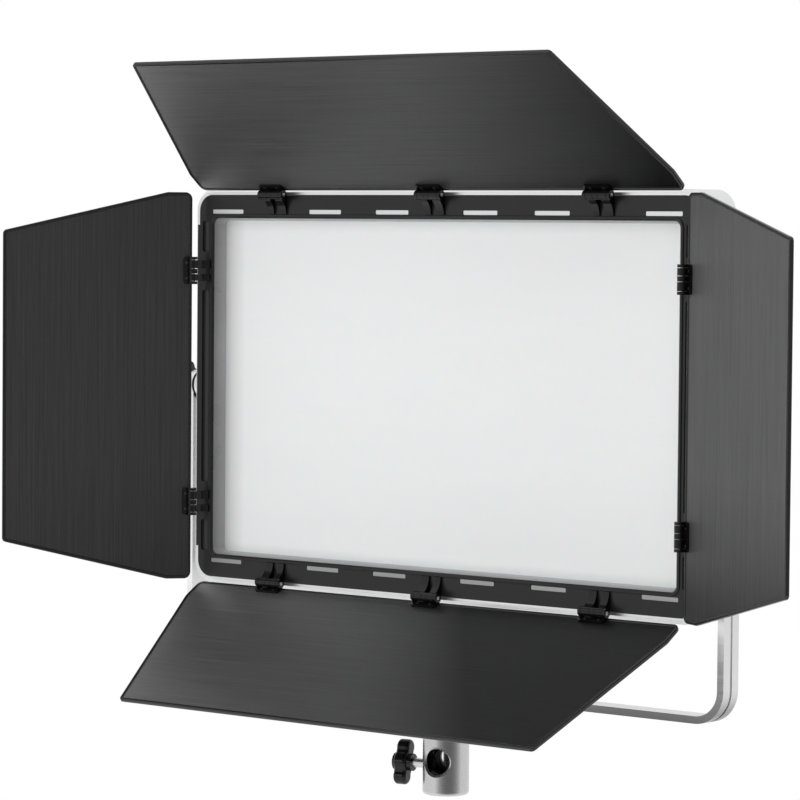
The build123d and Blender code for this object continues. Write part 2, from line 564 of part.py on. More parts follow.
with BuildPart() as display_module:
    with BuildSketch(lamp_plane(CONTROL_DEPTH + BOARD_T, x=DISPLAY_X, z=PANEL_DROP)):
        Rectangle(DISPLAY_SIZE[0] - 2 * DISPLAY_LAP, DISPLAY_SIZE[1] - 2 * DISPLAY_LAP)
    extrude(amount=-pod_back + CONTROL_DEPTH + BOARD_T)
save(display_module.part, "display_module")

SHAFT_R = 3.0
with BuildPart() as encoder_bodies:
    for x in KNOB_X:
        with BuildSketch(lamp_plane(CONTROL_DEPTH + BOARD_T, x=x, z=KNOB_Z)):
            Rectangle(12.5, 12.5)
        extrude(amount=-6.0)
        with BuildSketch(lamp_plane(CONTROL_DEPTH + BOARD_T + 6.0, x=x, z=KNOB_Z)):
            Circle(4.4)
        extrude(amount=-5.0)
        with BuildSketch(lamp_plane(CONTROL_DEPTH + BOARD_T + 1.0, x=x, z=KNOB_Z)):
            Circle(SHAFT_R + SCREW_GAP)
        extrude(amount=-10.0, mode=Mode.SUBTRACT)
save(encoder_bodies.part, "encoder_bodies")

DIAL_R, DIAL_T, DIAL_GAP = 11.5, 14.0, 0.9
DIAL_FLUTES, FLUTE_R, FLUTE_START = 24, 0.9, 2.5
SHAFT_START = CONTROL_DEPTH + BOARD_T + 1.4
dial_front = pod_back + PANEL_T + DIAL_GAP
for x, name in zip(KNOB_X, ("brightness_knob", "colour_knob")):
    with BuildPart() as dial:
        with BuildSketch(lamp_plane(dial_front, x=x, z=KNOB_Z)):
            Circle(DIAL_R)
        extrude(amount=-DIAL_T)
        chamfer(dial.edges().group_by(Axis.Y)[-1], length=1.2)
        with BuildSketch(lamp_plane(dial_front + FLUTE_START, x=x, z=KNOB_Z)):
            with PolarLocations(DIAL_R + 0.5, DIAL_FLUTES):
                Circle(FLUTE_R)
        extrude(amount=-DIAL_T, mode=Mode.SUBTRACT)
        with BuildSketch(lamp_plane(SHAFT_START, x=x, z=KNOB_Z)):
            Circle(SHAFT_R)
        extrude(amount=SHAFT_START - dial_front - 2)
    save(dial.part, name)

BUTTON_PROUD = 1.6
BUTTON_RIM, BUTTON_RIM_T = 1.2, 1.6  # the rubber rim that keeps each button in the panel
for z, name in zip(BUTTON_Z, ("mode_button", "menu_button")):
    with BuildPart() as button:
        with BuildSketch(lamp_plane(pod_back + PANEL_T + BUTTON_PROUD, x=BUTTON_X, z=z)):
            Circle(BUTTON_R)
        extrude(amount=BUTTON_PROUD + PANEL_T + 1.0)
        fillet(button.edges().group_by(Axis.Y)[-1], radius=0.7)
        with BuildSketch(lamp_plane(pod_back - 0.3, x=BUTTON_X, z=z)):
            Circle(BUTTON_R + BUTTON_RIM)
        extrude(amount=BUTTON_RIM_T)
    save(button.part, name)

ROCKER_TILT = 8.0  # degrees that the rocker leans when the light is off
SWITCH_WALL, SWITCH_DEPTH = 1.2, 12.0
SWITCH_RIM, SWITCH_RIM_T = 1.5, 1.8
PIVOT_IN, PIVOT_R, PIVOT_GAP, PIVOT_LAP = 1.0, 1.0, 0.05, 0.9  # the rocker's pivot stubs
switch_origin = Vector(SWITCH_X, FACE_Y + INLET_DEPTH, AXIS_Z - POD_Z / 2)
switch_plane = Plane(origin=switch_origin, x_dir=(1, 0, 0), z_dir=(0, 0, -1))
with BuildPart() as switch_frame:
    with BuildSketch(switch_plane):
        RectangleRounded(SWITCH_SIZE[0] + 2 * SWITCH_RIM, SWITCH_SIZE[1] + 2 * SWITCH_RIM, 1.2)
    extrude(amount=SWITCH_RIM_T)
    with BuildSketch(switch_plane):
        Rectangle(*SWITCH_SIZE)
    extrude(amount=-SWITCH_DEPTH)
    with BuildSketch(switch_plane.offset(SWITCH_RIM_T)):
        Rectangle(SWITCH_SIZE[0] - 2 * SWITCH_WALL, SWITCH_SIZE[1] - 2 * SWITCH_WALL)
    extrude(amount=-10.0, mode=Mode.SUBTRACT)
    pivot_reach = SWITCH_SIZE[1] / 2 - SWITCH_WALL + PIVOT_LAP
    pivot_origin = switch_origin + Vector(0, -pivot_reach - PIVOT_GAP, PIVOT_IN)
    with BuildSketch(Plane(origin=pivot_origin, x_dir=(1, 0, 0), z_dir=(0, 1, 0))):
        Circle(PIVOT_R + PIVOT_GAP)
    extrude(amount=2 * (pivot_reach + PIVOT_GAP), mode=Mode.SUBTRACT)
save(switch_frame.part, "switch_frame")

rocker_width = SWITCH_SIZE[1] - 2 * SWITCH_WALL - 0.8
rocker_plane = Plane(
    origin=switch_origin + Vector(0, rocker_width / 2, PIVOT_IN),
    x_dir=(cos(radians(ROCKER_TILT)), 0, sin(radians(ROCKER_TILT))),
    z_dir=(0, 1, 0),
)
with BuildPart() as power_rocker:
    with BuildSketch(rocker_plane):
        with BuildLine():
            Polyline((-7.2, 2.4), (0, 1.2), (7.2, 2.4), (6.6, -3.0), (0, -4.6), (-6.6, -3.0), close=True)
        make_face()
    extrude(amount=-rocker_width)
    with BuildSketch(rocker_plane.offset(pivot_reach - rocker_width / 2)):
        Circle(PIVOT_R)
    extrude(amount=-2 * pivot_reach)
save(power_rocker.part, "power_rocker")

inlet_plane = Plane(
    origin=(INLET_X, FACE_Y + INLET_DEPTH, AXIS_Z - POD_Z / 2), x_dir=(1, 0, 0), z_dir=(0, 0, -1)
)
INLET_NUT_R, INLET_NUT_T, INLET_PROUD, INLET_BODY = 7.0, 2.0, 3.0, 12.0
JACK_R, JACK_PIN_R, JACK_DEPTH = 2.85, 1.05, 11.0
with BuildPart() as dc_inlet:
    with BuildSketch(inlet_plane):
        RegularPolygon(radius=INLET_NUT_R, side_count=6)
    extrude(amount=INLET_NUT_T)
    with BuildSketch(inlet_plane):
        Circle(INLET_R)
    extrude(amount=INLET_PROUD)
    with BuildSketch(inlet_plane):
        Circle(INLET_R)
    extrude(amount=-INLET_BODY)
    with BuildSketch(inlet_plane.offset(INLET_PROUD)):
        Circle(JACK_R)
        Circle(JACK_PIN_R, mode=Mode.SUBTRACT)
    extrude(amount=-JACK_DEPTH, mode=Mode.SUBTRACT)
save(dc_inlet.part, "dc_inlet")

# ---------------------------------------------------------------- screws
BEZEL_SCREW_GRIP, BEZEL_HEAD_T = 1.6, 1.6
with BuildPart() as bezel_screws:
    with BuildSketch(lamp_plane(BEZEL_T - BEZEL_SCREW_GRIP)):
        with Locations(*four(BEZEL_SCREWS)):
            Circle(TAP_R)
    extrude(amount=-FLANGE_T - BEZEL_SCREW_GRIP)
    with BuildSketch(lamp_plane(BEZEL_T + FLANGE_T)):
        with Locations(*four(BEZEL_SCREWS)):
            Circle(HEAD_R)
    extrude(amount=-BEZEL_HEAD_T)
save(bezel_screws.part, "bezel_screws")

cover_ledge_back = FRAME_BACK + COVER_T
REAR_HEAD_T, REAR_SCREW_GRIP, KEY_R, KEY_DEPTH = 1.8, 8.0, 1.3, 1.2
with BuildPart() as rear_screws:
    with BuildSketch(lamp_plane(cover_ledge_back)):
        with Locations(*four(COVER_SCREWS + (COVER_SCREWS_SIDE,))):
            Circle(TAP_R)
    extrude(amount=COVER_T + REAR_SCREW_GRIP)
    with BuildSketch(lamp_plane(cover_ledge_back)):
        with Locations(*four(COVER_SCREWS + (COVER_SCREWS_SIDE,))):
            Circle(HEAD_R)
    extrude(amount=-REAR_HEAD_T)
    fillet(rear_screws.edges().group_by(Axis.Y)[-1], radius=0.6)
    with BuildSketch(lamp_plane(cover_ledge_back + REAR_HEAD_T)):
        with Locations(*four(COVER_SCREWS + (COVER_SCREWS_SIDE,))):
            RegularPolygon(radius=KEY_R, side_count=6)
    extrude(amount=KEY_DEPTH, mode=Mode.SUBTRACT)
save(rear_screws.part, "rear_screws")


# ---------------------------------------------------------------- barn doors and their hinges
def hinge_frame(direction):
    """Origin of a hinge axis and its outward direction, for the top, bottom, left or right door."""
    outward = {"top": (0, 0, 1), "bottom": (0, 0, -1), "left": (-1, 0, 0), "right": (1, 0, 0)}[direction]
    long_side = direction in ("top", "bottom")
    reach = LONG_AXIS_Z if long_side else SIDE_AXIS_X
    rise = LONG_AXIS_RISE if long_side else SIDE_AXIS_RISE
    centre = Vector(0, FACE_Y - rise, AXIS_Z) + reach * Vector(*outward)
    return centre, Vector(*outward)


def door_plane(direction, opening):
    """A plane on the hinge axis: X along the hinge, Y along the open door, Z out of its back."""
    centre, outward = hinge_frame(direction)
    ahead = Vector(0, -1, 0)
    turn = radians(opening)
    along = ahead * cos(turn) + outward * sin(turn)
    normal = outward * cos(turn) - ahead * sin(turn)
    return Plane(origin=centre, x_dir=along.cross(normal), z_dir=normal)


def door_outline(knee_half, free_half, inset=0.0):
    """A barn door's outline: square shoulders at the hinge edge, then sides that run in to the free edge."""
    with BuildSketch() as outline:
        Polygon(
            (-knee_half, 0),
            (knee_half, 0),
            (knee_half, KNEE),
            (free_half, DOOR_LENGTH),
            (-free_half, DOOR_LENGTH),
            (-knee_half, KNEE),
            align=None,
        )
        if inset:
            offset(amount=-inset, kind=Kind.INTERSECTION)
        fillet(outline.vertices().group_by(Axis.Y)[0], radius=HINGE_CORNER_R - inset)
        fillet(outline.vertices().filter_by(lambda v: abs(v.Y - KNEE) < 1), radius=KNEE_R)
        fillet(outline.vertices().group_by(Axis.Y)[-1], radius=FREE_CORNER_R - min(inset, 2.0))
    return outline.sketch


def knuckle_spans(width):
    """Where the lamp's and the door's knuckles lie along a hinge, as two lists of (start, end)."""
    half = width / 2
    lamp = [(-0.76 * half, -0.16 * half), (0.26 * half, 0.76 * half)]
    ends = [-half - KNUCKLE_GAP] + [end for span in lamp for end in span] + [half + KNUCKLE_GAP]
    door = [(ends[i] + KNUCKLE_GAP, ends[i + 1] - KNUCKLE_GAP) for i in (0, 2, 4)]
    return lamp, door


LEAF_LENGTH, LEAF_IN, LEAF_CORNER_R, LEAF_RELIEF = 5.8, 2.2, 2.0, 0.25
TRIM_IN, TRIM_EDGE_R = DOOR_OFFSET - DOOR_TRIM_T / 2, 0.7
PANEL_IN = DOOR_OFFSET - DOOR_PANEL_T / 2
RIVET_X, RIVET_Y, RIVET_R, RIVET_HEAD_R, RIVET_HEAD_T = 5.0, 3.8, 0.9, 1.4, 0.6


def make_door(direction, opening, knee_half, free_half, hinges, hinge_width):
    plane = door_plane(direction, opening)
    door_spans = knuckle_spans(hinge_width)[1]

    with BuildPart() as panel:
        with BuildSketch(plane.offset(PANEL_IN)):
            add(door_outline(knee_half, free_half, PANEL_INSET))
            with Locations(*[(x + dx, RIVET_Y) for x in hinges for dx in (-RIVET_X, RIVET_X)]):
                Circle(RIVET_R, mode=Mode.SUBTRACT)
        extrude(amount=DOOR_PANEL_T)
    save(panel.part, f"{direction}_door_panel")

    with BuildPart() as trim:
        with BuildSketch(plane.offset(TRIM_IN)):
            add(door_outline(knee_half, free_half))
            add(door_outline(knee_half, free_half, TRIM_WIDTH), mode=Mode.SUBTRACT)
        extrude(amount=DOOR_TRIM_T)
        height = lambda edge: plane.to_local_coords(edge.center()).Z - DOOR_OFFSET
        long_edges = trim.edges().filter_by(lambda edge: abs(height(edge)) > 1)
        fillet(long_edges, radius=TRIM_EDGE_R)
        with BuildSketch(plane.offset(PANEL_IN)):
            add(door_outline(knee_half, free_half, PANEL_INSET))
        extrude(amount=DOOR_PANEL_T, mode=Mode.SUBTRACT)
    save(trim.part, f"{direction}_door_trim")

    with BuildPart() as leaves:
        for x in hinges:
            leaf_plane = Plane(
                origin=plane.from_local_coords(Vector(x, 0, 0)), x_dir=plane.x_dir, z_dir=plane.z_dir
            )
            with BuildSketch(leaf_plane.offset(LEAF_IN)) as leaf:
                with Locations((0, LEAF_LENGTH / 2)):
                    Rectangle(hinge_width, LEAF_LENGTH)
                fillet(leaf.vertices().group_by(Axis.Y)[-1], radius=LEAF_CORNER_R)
            extrude(amount=TRIM_IN - LEAF_IN)
            with BuildSketch(leaf_plane.offset(TRIM_IN)) as pad:
                with Locations((0, (LEAF_LENGTH + TRIM_WIDTH) / 2)):
                    Rectangle(hinge_width, LEAF_LENGTH - TRIM_WIDTH)
                fillet(pad.vertices().group_by(Axis.Y)[-1], radius=LEAF_CORNER_R)
            extrude(amount=PANEL_IN - TRIM_IN)
            knuckle_plane = Plane(origin=leaf_plane.origin, x_dir=plane.y_dir, z_dir=plane.x_dir)
            gap_spans = knuckle_spans(hinge_width)[0]
            for start, end in door_spans:
                with BuildSketch(knuckle_plane.offset(start)):
                    Circle(KNUCKLE_R)
                extrude(amount=end - start)
            for start, end in gap_spans:
                with BuildSketch(knuckle_plane.offset(start - KNUCKLE_GAP)):
                    Circle(KNUCKLE_R + LEAF_RELIEF)
                extrude(amount=end - start + 2 * KNUCKLE_GAP, mode=Mode.SUBTRACT)
            with BuildSketch(knuckle_plane.offset(-hinge_width / 2)):
                Circle(PIN_R + PIN_GAP)
            extrude(amount=hinge_width, mode=Mode.SUBTRACT)
            with BuildSketch(leaf_plane):
                with Locations((-RIVET_X, RIVET_Y), (RIVET_X, RIVET_Y)):
                    Circle(RIVET_R)
            extrude(amount=PANEL_IN, mode=Mode.SUBTRACT)
    save(leaves.part, f"{direction}_door_leaves")

    with BuildPart() as rivets:
        places = [(x + dx, RIVET_Y) for x in hinges for dx in (-RIVET_X, RIVET_X)]
        with BuildSketch(plane.offset(LEAF_IN)):
            with Locations(*places):
                Circle(RIVET_R)
        extrude(amount=PANEL_IN + DOOR_PANEL_T - LEAF_IN)
        with BuildSketch(plane.offset(PANEL_IN + DOOR_PANEL_T)):
            with Locations(*places):
                Circle(RIVET_HEAD_R)
        extrude(amount=RIVET_HEAD_T)
    save(rivets.part, f"{direction}_door_rivets")


LONG_KNEE, LONG_FREE = 191.0, 163.0
SIDE_KNEE, SIDE_FREE = 124.8, 99.5
make_door("top", OPEN_TOP, LONG_KNEE, LONG_FREE, LONG_HINGES, LONG_HINGE_WIDTH)
make_door("bottom", OPEN_BOTTOM, LONG_KNEE, LONG_FREE, LONG_HINGES, LONG_HINGE_WIDTH)
make_door("left", OPEN_LEFT, SIDE_KNEE, SIDE_FREE, SIDE_HINGES, SIDE_HINGE_WIDTH)
make_door("right", OPEN_RIGHT, SIDE_KNEE, SIDE_FREE, SIDE_HINGES, SIDE_HINGE_WIDTH)


def arm_profile(rise, foot):
    """One rib of a hinge arm: a foot on the bezel that curves up to the knuckle."""
    with BuildSketch() as profile:
        with BuildLine():
            Polyline((-foot, 1.2 - rise), (-foot, -rise), (-2.0, -rise), (-0.4, -2.7), (-2.8, -0.4))
            ThreePointArc((-2.8, -0.4), (-0.55 * foot - 0.4, -0.62 * rise), (-foot, 1.2 - rise))
        make_face()
        Circle(KNUCKLE_R)
        Circle(PIN_R, mode=Mode.SUBTRACT)
    return profile.sketch


def hinge_places(directions):
    """Each hinge's plane across its axis, X outwards and Y forwards."""
    for direction in directions:
        centre, outward = hinge_frame(direction)
        places = LONG_HINGES if direction in ("top", "bottom") else SIDE_HINGES
        along = outward.cross(Vector(0, -1, 0))
        step = Vector(1, 0, 0) if direction in ("top", "bottom") else Vector(0, 0, 1)
        for place in places:
            yield Plane(origin=centre + step * place, x_dir=outward, z_dir=along)


LONG_FOOT, SIDE_FOOT = 12.2, 6.2
for directions, rise, foot, width, name in (
    (("top", "bottom"), LONG_AXIS_RISE, LONG_FOOT, LONG_HINGE_WIDTH, "hinge_arms_long"),
    (("left", "right"), SIDE_AXIS_RISE, SIDE_FOOT, SIDE_HINGE_WIDTH, "hinge_arms_side"),
):
    with BuildPart() as arms:
        for place in hinge_places(directions):
            for start, end in knuckle_spans(width)[0]:
                with BuildSketch(place.offset(-end)):
                    add(arm_profile(rise, foot))
                extrude(amount=end - start)
    save(arms.part, name)

with BuildPart() as hinge_pins:
    for directions, width in ((("top", "bottom"), LONG_HINGE_WIDTH), (("left", "right"), SIDE_HINGE_WIDTH)):
        for place in hinge_places(directions):
            with BuildSketch(place.offset(-width / 2)):
                Circle(PIN_R)
            extrude(amount=width)
save(hinge_pins.part, "hinge_pins")
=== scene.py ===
import math

import bmesh
import bpy
from mathutils import Matrix, Vector


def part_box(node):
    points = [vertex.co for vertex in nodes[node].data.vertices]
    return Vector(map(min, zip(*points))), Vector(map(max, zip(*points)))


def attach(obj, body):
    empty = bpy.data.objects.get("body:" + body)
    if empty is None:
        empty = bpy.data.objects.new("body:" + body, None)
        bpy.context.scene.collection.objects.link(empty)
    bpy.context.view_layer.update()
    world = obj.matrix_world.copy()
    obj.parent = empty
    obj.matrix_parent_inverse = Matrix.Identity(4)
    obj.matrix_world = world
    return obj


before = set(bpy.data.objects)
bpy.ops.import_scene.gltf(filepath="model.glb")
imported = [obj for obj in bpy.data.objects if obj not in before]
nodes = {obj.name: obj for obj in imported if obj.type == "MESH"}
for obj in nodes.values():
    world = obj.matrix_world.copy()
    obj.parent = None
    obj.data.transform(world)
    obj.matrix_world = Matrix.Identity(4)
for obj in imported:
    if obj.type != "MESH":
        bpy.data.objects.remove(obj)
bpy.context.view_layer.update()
scene = bpy.context.scene

# ---------------------------------------------------------------- driving values, in metres and degrees
CAMERA_AZIMUTH, CAMERA_ELEVATION, CAMERA_ROLL = 40.0, 2.64, 0.48
CAMERA_PLACE = (1.4525, -1.7782, 0.3498)
CAMERA_LENS, SENSOR_WIDTH = 167.7, 36.0  # millimetres
LIGHT_TARGET = Vector((0, 0, 0.25))
FLOOR_Z, FLOOR_RADIUS, FLOOR_SIDES = -0.6, 3.0, 96
FLOOR_GLOW = 0.25
BRIGHT_SIDE, DARK_SIDE, DARK_AZIMUTH = 1.0, 0.42, 54.0
DARK_BEGINS, DARK_FULL = 0.35, 0.9  # cosines of the angle from the dark side's middle

DOORS = ("top", "bottom", "left", "right")
KNOBS = ("brightness_knob", "colour_knob")
MICRON = 1e-6
NOISE_LOW, NOISE_HIGH = 0.3, 0.7  # where most of a noise's values lie
EVEN, ALONG_X, ALONG_Z = (1, 1, 1), (0.04, 1, 1), (1, 1, 0.04)


def outward(azimuth, elevation=0.0):
    """The direction from the lamp to a place around it. Azimuth 0 is in front and 90 to the right."""
    turn, rise = math.radians(azimuth), math.radians(elevation)
    return Vector((math.sin(turn) * math.cos(rise), -math.cos(turn) * math.cos(rise), math.sin(rise)))


# ---------------------------------------------------------------- places read from the frame
lamp_low, lamp_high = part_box("housing_frame")
bezel_low, bezel_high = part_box("front_bezel")
diffuser_low, diffuser_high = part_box("diffuser")
receiver_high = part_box("receiver_body")[1]
YOKE_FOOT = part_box("yoke_bar")[0].z

LAMP_Z = (lamp_low.z + lamp_high.z) / 2
DIFFUSER_EDGE = diffuser_high.x
WINDOW_LAP = 0.0007  # how far the diffuser reaches past the recess
RECESS_HALF_X = DIFFUSER_EDGE - WINDOW_LAP
RECESS_HALF_Z = (diffuser_high.z - diffuser_low.z) / 2 - WINDOW_LAP
RECESS_FRONT = bezel_low.y + 0.0012
RECESS_BACK = diffuser_low.y - 0.0015
CHANNEL_START, CHANNEL_END = bezel_high.x - 0.0107, bezel_high.x - 0.0046
CHANNEL_FRONT = bezel_low.y + 0.00085
SLOT_BAR_FACE = lamp_low.y + 0.0003
# where the diffuser's painted shadow of the window lip starts and ends
SHADOW_START, SHADOW_END = 0.0015 - DIFFUSER_EDGE, 0.0195 - DIFFUSER_EDGE
FALL_HALF = DIFFUSER_EDGE - 0.0155  # the diffuser's slow fall of brightness runs this far each way
BORE_RADIUS, BORE_TOP = receiver_high.x - 0.0018, receiver_high.z - 0.0152


# ---------------------------------------------------------------- node material helpers
def start_material(name):
    material = bpy.data.materials.new(name)
    material.use_nodes = True
    return material, material.node_tree, material.node_tree.nodes["Principled BSDF"]


def add_node(tree, kind, **inputs):
    made = tree.nodes.new(kind)
    for key, value in inputs.items():
        made.inputs[key.replace("_", " ")].default_value = value
    return made


def coordinates(tree, kind):
    """Object is a place and Normal a direction in the piece's own frame; Generated is a world's direction."""
    return tree.nodes.new("ShaderNodeTexCoord").outputs[kind]


def place_noise(tree, stretch, scale, detail=3.0, roughness=0.6):
    """A noise in the object's own frame, its grain stretched by the mapping's three scales."""
    mapping = add_node(tree, "ShaderNodeMapping", Scale=stretch)
    noise = add_node(tree, "ShaderNodeTexNoise", Scale=scale, Detail=detail, Roughness=roughness)
    tree.links.new(coordinates(tree, "Object"), mapping.inputs["Vector"])
    tree.links.new(mapping.outputs["Vector"], noise.inputs["Vector"])
    return noise.outputs["Fac"]


def spread(tree, source, low, high, start=NOISE_LOW, end=NOISE_HIGH):
    """The source's run from start to end stretched to go from low to high, and held at both ends."""
    ranged = add_node(tree, "ShaderNodeMapRange", From_Min=start, From_Max=end, To_Min=low, To_Max=high)
    tree.links.new(source, ranged.inputs["Value"])
    return ranged.outputs["Result"]


def calc(tree, operation, *values):
    """One step of arithmetic on sockets and plain numbers."""
    step = tree.nodes.new("ShaderNodeMath")
    step.operation = operation
    for socket, value in zip(step.inputs, values):
        if isinstance(value, (int, float)):
            socket.default_value = value
        else:
            tree.links.new(value, socket)
    return step.outputs["Value"]


def product(tree, *factors):
    """All the factors multiplied together."""
    value = factors[0]
    for factor in factors[1:]:
        value = calc(tree, "MULTIPLY", value, factor)
    return value


def tint(tree, shader, colour, *factors):
    """The base colour times each factor, a socket that runs near 1."""
    scaled = tree.nodes.new("ShaderNodeVectorMath")
    scaled.operation = "SCALE"
    scaled.inputs[0].default_value = colour
    tree.links.new(product(tree, *factors), scaled.inputs["Scale"])
    tree.links.new(scaled.outputs["Vector"], shader.inputs["Base Color"])


def split_xyz(tree, vector):
    split = tree.nodes.new("ShaderNodeSeparateXYZ")
    tree.links.new(vector, split.inputs["Vector"])
    return split.outputs["X"], split.outputs["Y"], split.outputs["Z"]


def along(tree, vector, direction):
    """How far a vector reaches in a direction."""
    dot = tree.nodes.new("ShaderNodeVectorMath")
    dot.operation = "DOT_PRODUCT"
    dot.inputs[1].default_value = direction
    tree.links.new(vector, dot.inputs[0])
    return dot.outputs["Value"]


def roughen(tree, shader, height, depth):
    bump = add_node(tree, "ShaderNodeBump", Strength=1.0, Distance=depth)
    tree.links.new(height, bump.inputs["Height"])
    tree.links.new(bump.outputs["Normal"], shader.inputs["Normal"])


# ---------------------------------------------------------------- materials
def plastic(
    name, colour, roughness, grain=900.0, depth=40 * MICRON, polish_spread=0.08, specular=0.5, shade=None
):
    """Moulded plastic or rubber: a fine spark-eroded grain with slow changes of tone and polish."""
    material, tree, shader = start_material(name)
    fine = place_noise(tree, EVEN, grain, detail=2.0)
    slow = place_noise(tree, EVEN, scale=14.0)
    tones = [spread(tree, slow, 0.9, 1.1), spread(tree, fine, 0.93, 1.07)]
    if shade:
        tones.append(shade(tree))
    tint(tree, shader, colour, *tones)
    polish = spread(tree, slow, roughness - polish_spread / 2, roughness + polish_spread / 2)
    tree.links.new(polish, shader.inputs["Roughness"])
    shader.inputs["Specular IOR Level"].default_value = specular
    roughen(tree, shader, fine, depth)
    return material


def metal(name, colour, roughness, stretch=EVEN, grain=500.0, depth=10 * MICRON, contrast=0.08, shade=None):
    """Bare or anodised metal, its grain drawn out along the directions with a small stretch."""
    material, tree, shader = start_material(name)
    fine = place_noise(tree, stretch, grain, detail=4.0)
    slow = place_noise(tree, EVEN, scale=9.0)
    tones = [spread(tree, fine, 1 - contrast, 1.0), spread(tree, slow, 0.96, 1.03)]
    if shade:
        tones.append(shade(tree))
    tint(tree, shader, colour, *tones)
    tree.links.new(spread(tree, fine, roughness * 0.85, roughness * 1.2), shader.inputs["Roughness"])
    shader.inputs["Metallic"].default_value = 1.0
    roughen(tree, shader, fine, depth)
    return material


def door_sheet(name, stretch, tone, across, start, end, low, high):
    """Black-painted sheet brushed along its hinge, with a painted sheen for how light falls on it, scaling
    its colour and specular level from low at start to high at end.
    """
    material, tree, shader = start_material(name)
    lines = place_noise(tree, stretch, scale=1.0, roughness=0.7)
    slow = place_noise(tree, EVEN, scale=6.0)
    dust = place_noise(tree, EVEN, scale=1400.0, detail=1.0)
    painted_sheen = spread(tree, along(tree, coordinates(tree, "Object"), across), low, high, start, end)
    blue_black = (tone, tone, 1.02 * tone)
    tint(tree, shader, blue_black, spread(tree, lines, 0.6, 1.5), spread(tree, dust, 0.9, 1.12), painted_sheen)
    tree.links.new(spread(tree, slow, 0.33, 0.4), shader.inputs["Roughness"])
    tree.links.new(calc(tree, "MULTIPLY", painted_sheen, 0.5), shader.inputs["Specular IOR Level"])
    roughen(tree, shader, lines, 60 * MICRON)
    return material


def diffuser_sheet():
    """Opal sheet with the faintest ripple from rolling, with a painted shadow of the window lip along its
    left edge, which also dims its faint glow.
    """
    material, tree, shader = start_material("opal_sheet")
    ripple = place_noise(tree, (1, 1, 6), scale=7.0, detail=2.0)
    grain = place_noise(tree, EVEN, scale=1200.0, detail=1.0)
    x = split_xyz(tree, coordinates(tree, "Object"))[0]
    shadow = spread(tree, x, low=0.62, high=1.0, start=SHADOW_START, end=SHADOW_END)
    shadow_and_fall = product(tree, shadow, spread(tree, x, low=1.04, high=0.95, start=-FALL_HALF, end=FALL_HALF))
    white = (0.87, 0.87, 0.87)
    tint(tree, shader, white, spread(tree, ripple, 0.985, 1.0), spread(tree, grain, 0.99, 1.0), shadow_and_fall)
    shader.inputs["Emission Color"].default_value = (1, 1, 1, 1)
    tree.links.new(calc(tree, "MULTIPLY", shadow_and_fall, 0.05), shader.inputs["Emission Strength"])
    tree.links.new(spread(tree, ripple, 0.42, 0.5), shader.inputs["Roughness"])
    shader.inputs["Subsurface Weight"].default_value = 0.25
    shader.inputs["Subsurface Scale"].default_value = 0.004
    roughen(tree, shader, ripple, 50 * MICRON)
    return material


def circuit_board(name, colour):
    """Solder mask over copper, in square blocks of tracks."""
    material, tree, shader = start_material(name)
    tracks = add_node(tree, "ShaderNodeTexVoronoi", Scale=220.0, Randomness=0.35)
    tracks.distance = "CHEBYCHEV"
    tree.links.new(coordinates(tree, "Object"), tracks.inputs["Vector"])
    slow = place_noise(tree, EVEN, scale=25.0)
    copper = spread(tree, tracks.outputs["Distance"], low=0.75, high=1.15, start=0.1, end=0.6)
    tint(tree, shader, colour, copper, spread(tree, slow, 0.92, 1.05))
    tree.links.new(spread(tree, slow, 0.3, 0.42), shader.inputs["Roughness"])
    roughen(tree, shader, tracks.outputs["Distance"], 50 * MICRON)
    return material


def glass_pane():
    """The display's dark hard-coated window with faint wipe marks."""
    material, tree, shader = start_material("display_pane")
    wipe = place_noise(tree, (1, 1, 5), scale=30.0)
    tint(tree, shader, (0.012, 0.016, 0.02), spread(tree, wipe, 0.85, 1.15))
    tree.links.new(spread(tree, wipe, 0.05, 0.12), shader.inputs["Roughness"])
    shader.inputs["Coat Weight"].default_value = 0.6
    return material


def glow(name, colour, strength):
    """Small lit marks on the display."""
    material, tree, shader = start_material(name)
    cell = place_noise(tree, EVEN, scale=2500.0, detail=0.0)
    tint(tree, shader, colour, spread(tree, cell, 0.8, 1.1))
    shader.inputs["Emission Color"].default_value = (*colour, 1.0)
    shader.inputs["Emission Strength"].default_value = strength
    shader.inputs["Roughness"].default_value = 0.5
    return material


def painted_mark():
    material, tree, shader = start_material("painted_mark")
    ink = place_noise(tree, EVEN, scale=1800.0, detail=2.0)
    tint(tree, shader, (0.6, 0.6, 0.6), spread(tree, ink, 0.85, 1.05))
    tree.links.new(spread(tree, ink, 0.45, 0.6), shader.inputs["Roughness"])
    return material


# ---------------------------------------------------------------- painted light and shade that vary over one piece
WALL_LIGHT, CHANNEL_LIGHT = (18.0, 36.0), 1.2  # painted light, added to a plain tone of 1
# painted shade on the receiver: the way its dull side faces, and how much of their tone its bores lose
RECEIVER_SHADED_SIDE, BORE_PAINTED_SHADE = (0.71, -0.7, 0.0), 0.96


def recess_shade(tree):
    """Painted light: the recess walls are painted paler toward the diffuser, where its light would reach, and
    the side channels a little paler to lift their shade.
    """
    x, y, z = split_xyz(tree, coordinates(tree, "Object"))
    from_middle = calc(tree, "ABSOLUTE", x)
    from_mid_height = calc(tree, "ABSOLUTE", calc(tree, "SUBTRACT", z, LAMP_Z))
    in_window = product(
        tree, calc(tree, "LESS_THAN", from_middle, RECESS_HALF_X),
        calc(tree, "LESS_THAN", from_mid_height, RECESS_HALF_Z), calc(tree, "GREATER_THAN", y, RECESS_FRONT),
    )
    in_channel = product(
        tree, calc(tree, "GREATER_THAN", from_middle, CHANNEL_START),
        calc(tree, "LESS_THAN", from_middle, CHANNEL_END), calc(tree, "GREATER_THAN", y, CHANNEL_FRONT),
    )
    paler_inward = spread(tree, y, *WALL_LIGHT, start=RECESS_FRONT, end=RECESS_BACK)
    wall_light = product(tree, in_window, paler_inward)
    channel_light = calc(tree, "MULTIPLY", in_channel, CHANNEL_LIGHT)
    return calc(tree, "ADD", calc(tree, "ADD", wall_light, channel_light), 1.0)


